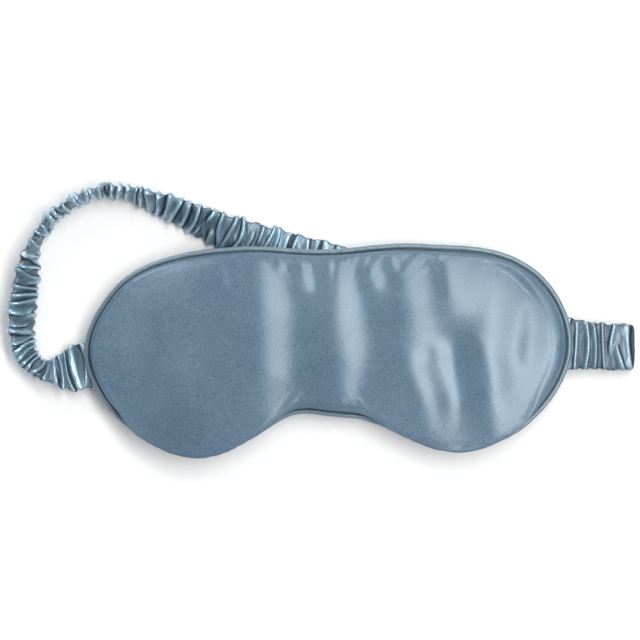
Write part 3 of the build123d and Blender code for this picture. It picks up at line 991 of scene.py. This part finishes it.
def pleat_rows():
    """Where each pleat's crest is, and how it slants, bows, leans and stands, in millimetres.

    A pleat with a reach dies out there, part of the way across the strap.
    """
    rows, at = [], 1.5
    while at < run_length - 1.0:
        seam = at < 20 or at > run_length - 26
        pitch = pleat_pitch(at, seam)
        rows.append(
            dict(
                at=at,
                pitch=pitch,
                slant=chance.normal(0.0, 0.5 if seam else 1.1),
                bow=chance.normal(0.0, 0.5 if seam else 0.9),
                back_bow=chance.normal(0.0, 0.8),
                lean=chance.choice([-1, 1]) * chance.uniform(0.3, 1.0),
                height=chance.uniform(0.6, 1.2),
                back_height=chance.uniform(0.6, 1.2),
                lobe=chance.uniform(0.4, 1.9),
                other_lobe=chance.uniform(0.4, 1.9),
                side=chance.choice([-1, 1]),
                reach=chance.uniform(-0.5, 0.7) if chance.uniform() < 0.4 and not seam else None,
                crest=chance.uniform(0.35, 0.60) if seam else chance.uniform(0.15, 0.24) * pitch,
            )
        )
        at += pitch
    return rows


pleats = pleat_rows()


def pleat_strength(at):
    """How high the pleats stand along the strap, in millimetres: least behind the mask and in the seams."""
    hidden = smooth_step(at, hidden_start, hidden_start + 14) * smooth_step(fold_joint - at, -6, 6)
    folded = smooth_step(at, fold_joint - 2, fold_joint + 6)
    turn = smooth_step(at, 20, 26) * smooth_step(40 - at, 0, 8)
    on_edge = smooth_step(at, middle_start - 16, middle_start - 4)
    on_edge *= smooth_step(middle_start + 26 - at, 0, 14)
    strength = 2.5 - 0.5 * turn - 0.6 * on_edge - 1.6 * hidden - 1.2 * folded
    return strength * (0.35 + 0.65 * smooth_step(at, 9.0, 15.0) * smooth_step(run_length - at, 9.0, 14.0))


def pleated(s, v, front):
    """How all pleats together shape the sleeve at distances s and places v across it, in pleat heights.

    Returns how much each point is lifted, shifted along and spread sideways, and how deep in a gap it is,
    which sets the painted shade there.
    """
    lift, shift, spread, gap = (np.zeros((len(s), v.shape[1])) for _ in range(4))
    for p in pleats:
        if p["at"] < s[0, 0] - 9 or p["at"] > s[-1, 0] + 9:
            continue
        bow = np.where(front, p["bow"], p["back_bow"]) * (1 - v * v)
        t = s - p["at"] - p["slant"] * v - bow
        steep_side = t * p["lean"] > 0
        width = np.where(steep_side, 0.6, 1.4) * p["crest"]
        part = 1.0 if p["reach"] is None else smooth_step(p["reach"] - v * p["side"], -0.35, 0.35)
        height = np.where(front, p["height"], p["back_height"]) * part
        crest = np.exp(-(np.abs(t) / width) ** 1.7)
        lift = np.maximum(lift, crest * height) + 0.15 * np.minimum(lift, crest * height)
        shift += p["lean"] * bell(t, 1.2 * p["crest"]) * height * 0.55
        foot = (t * np.sign(p["lean"]) - 1.5 * p["crest"]) / (0.7 * p["crest"])
        gap = np.maximum(gap, bell(foot, 1) * height)
        lobe = np.where(v > 0, p["lobe"], p["other_lobe"])
        spread = np.maximum(spread, lobe * np.exp(-(np.abs(t) / (0.40 * p["pitch"])) ** 2.6))
    return lift, shift, spread, gap


def sleeve_surface(first, last):
    """The gathered sleeve between two frame numbers: its points in metres, and its painted light, from
    painted shade at 0 to painted highlight at 1.

    Points run in rows of SLEEVE_SIDES round the sleeve.
    """
    at = run_at[first:last]
    angle = np.linspace(0, 2 * np.pi, SLEEVE_SIDES, endpoint=False)
    side = np.sign(np.cos(angle)) * np.abs(np.cos(angle)) ** SQUARENESS
    face = np.sign(np.sin(angle)) * np.abs(np.sin(angle)) ** SQUARENESS
    edge = np.abs(side) ** 5
    s, v = at[:, None], side[None, :]
    tall = pleat_strength(at)[:, None]
    half_width = run_size[first:last, :1] + 0.35 * wave_noise(at, 13.0, 71)[:, None]
    lift, shift, spread, gap = pleated(s, v, (face > 0)[None, :])
    fine = (1 - np.abs(wave_noise(s + 2.6 * v + 3 * face, 2.3, 83))) ** 4 * 0.14
    fine = fine + wave_noise(s - 2.3 * v, 0.9, 84) * 0.05
    sag = 0.20 * wave_noise(s + 0.7 * v, 5.0, 85)
    out = run_size[first:last, 1:] + (lift - 0.06 + fine + sag) * tall
    hidden = smooth_step(at, hidden_start, hidden_start + 10) * smooth_step(fold_joint - at, 0, 8)
    limit = OPEN_LIMIT - (OPEN_LIMIT - HIDDEN_LIMIT) * hidden
    out = face[None, :] * np.clip(out, 0.8, limit[:, None])
    over = side[None, :] * (half_width + (spread * 0.85 - 0.45) * edge[None, :] * (0.25 + 0.45 * tall))
    shift = shift * tall * 0.45 + wave_noise(s + 1.9 * v, 2.6, 86) * 0.18
    place, along = run_place[first:last, None, :], run_along[first:last, None, :]
    across, up = run_across[first:last, None, :], run_up[first:last, None, :]
    points = place + across * over[..., None] + up * out[..., None] + along * shift[..., None]
    points[..., 2] = np.maximum(points[..., 2], table_z / MM + 0.05)
    # Painted light for each point: painted shade in the gaps between pleats and over the turned-back tab,
    # painted highlight on the crests and fine wrinkles.
    tab_painted_shade = smooth_step(at, fold_joint - 2, fold_joint + 6)[:, None]
    painted_fold_light = np.clip(0.22 - 0.10 * tab_painted_shade + 0.74 * lift - 0.55 * gap + 1.2 * (fine - 0.02), 0, 1)
    return points.reshape(-1, 3) * MM, painted_fold_light.ravel()


def frame_numbers(start, end):
    """The first frame of a stretch of the strap, and the one after its last."""
    return np.searchsorted(run_at, start), min(np.searchsorted(run_at, end) + 1, len(run_at))


def build_sleeve(name, start, end):
    first, last = frame_numbers(start, end)
    points, painted_fold_light = sleeve_surface(first, last)
    faces = grid_faces(last - first, SLEEVE_SIDES, closed_columns=True)
    piece = mesh_object(name, points, faces, strap_satin)
    piece.data.attributes.new("painted_fold_light", "FLOAT", "POINT").data.foreach_set("value", painted_fold_light)
    apply_modifier(piece, "SOLIDIFY", thickness=SLEEVE_CLOTH * MM, offset=-1.0)
    return piece


ELASTIC_HALF_WIDTH = 5.6
RIB_PITCH = 2.2
ELASTIC_SECTION = [
    (-5.6, -0.25),
    (-5.3, -0.40),
    (5.3, -0.40),
    (5.6, -0.25),
    (5.6, 0.25),
    (5.3, 0.40),
    (-5.3, 0.40),
    (-5.6, 0.25),
]


def build_elastic(name, start, end):
    """The flat ribbed elastic, curled narrower where the sleeve round it is pinched."""
    first, last = frame_numbers(start, end)
    keep = np.unique(np.r_[np.arange(first, last, 4), last - 1])
    section = np.array(ELASTIC_SECTION)
    ribs = 0.06 * np.sin(run_at[keep] * 2 * np.pi / RIB_PITCH)
    over = section[None, :, 0] * np.minimum(1, (run_size[keep, :1] - 1.5) / ELASTIC_HALF_WIDTH)
    out = section[None, :, 1] * (1 + ribs[:, None])
    across, up = run_across[keep, None] * over[..., None], run_up[keep, None] * out[..., None]
    points = run_place[keep, None] + across + up
    sides = len(section)
    faces = [tuple(f) for f in grid_faces(len(keep), sides, closed_columns=True)]
    faces.append(tuple(range(sides))[::-1])
    faces.append(tuple((len(keep) - 1) * sides + n for n in range(sides)))
    piece = mesh_object(name, points.reshape(-1, 3) * MM, faces, elastic_web)
    piece.data.polygons.foreach_set("use_smooth", [False] * len(piece.data.polygons))
    return piece


# Where the strap leaves each seam and is free to turn, and where each arm starts and ends, in metres.
LEFT_SEAM = Vector((-0.1034, -0.0041, 0.0015))
LEFT_TURN = Vector((-0.1255, -0.0041, 0.0015))
RIGHT_SEAM = Vector((0.1034, -0.0008, 0.0015))
RIGHT_TURN = Vector((0.1170, -0.0008, 0.0015))
ARM_LEFT_START, ARM_LEFT_END = Vector((-0.1283, 0.0045, 0)), Vector((-0.1179, 0.0502, 0))
ARM_RIGHT_START, ARM_RIGHT_END = Vector((0.1177, -0.0019, 0)), Vector((-0.0774, 0.0666, 0))

# How a run of the strap moves: with one body; a run given two bodies and two places between them is
# attached to neither and stays where it is built.
end_left_motion = "mask", "strap_ends", LEFT_SEAM, LEFT_TURN
arm_left_motion = "strap_ends", "strap_middle", ARM_LEFT_START, ARM_LEFT_END
arm_right_motion = "strap_ends", "strap_middle", ARM_RIGHT_START, ARM_RIGHT_END
end_right_motion = "mask", "strap_ends", RIGHT_SEAM, RIGHT_TURN

# Each run of the strap: its name, where it starts and ends, the nodes it stands for, and how it moves.
strap_runs = [
    ("end_left", 0, left_joint, ("anchor_left", "end_left"), end_left_motion),
    ("arm_left", left_joint, middle_start, ("arm_left",), arm_left_motion),
    ("middle", middle_start, middle_end, ("middle",), "strap_middle"),
    ("arm_right", middle_end, fold_joint, ("arm_right",), arm_right_motion),
    ("end_right", fold_joint, run_length, ("anchor_right", "end_right"), end_right_motion),
]


def move_with(piece, motion):
    if isinstance(motion, str):
        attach(piece, motion)
    else:
        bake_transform(piece)


for name, start, end, stands_for, motion in strap_runs:
    sleeve = build_sleeve(f"sleeve_{name}", start, end)
    move_with(sleeve, motion)
    elastic = build_elastic(f"elastic_{name}", start, end)
    move_with(elastic, motion)
    for node in stands_for:
        part = "strap_" + node if node.startswith("anchor") else "strap_sleeve_" + node
        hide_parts(part)
        part = "elastic_" + node if node.startswith("anchor") else "strap_elastic_" + node
        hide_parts(part)


# ---------------------------------------------------------------- finishes of the inner CAD pieces

for node in ("edge_stitches", "bar_tacks_left", "bar_tacks_right"):
    cad_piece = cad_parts[node]
    if not cad_piece.material_slots:
        cad_piece.data.materials.append(thread)
    for material_slot in cad_piece.material_slots:
        material_slot.material = thread


# ---------------------------------------------------------------- floor

FLOOR_HALF = 3.0


def add_floor():
    corners = [(FLOOR_HALF * x, FLOOR_HALF * y, table_z) for x, y in ((-1, -1), (1, -1), (1, 1), (-1, 1))]
    floor = mesh_object("floor", corners, [(0, 1, 2, 3)], floor_material())


add_floor()
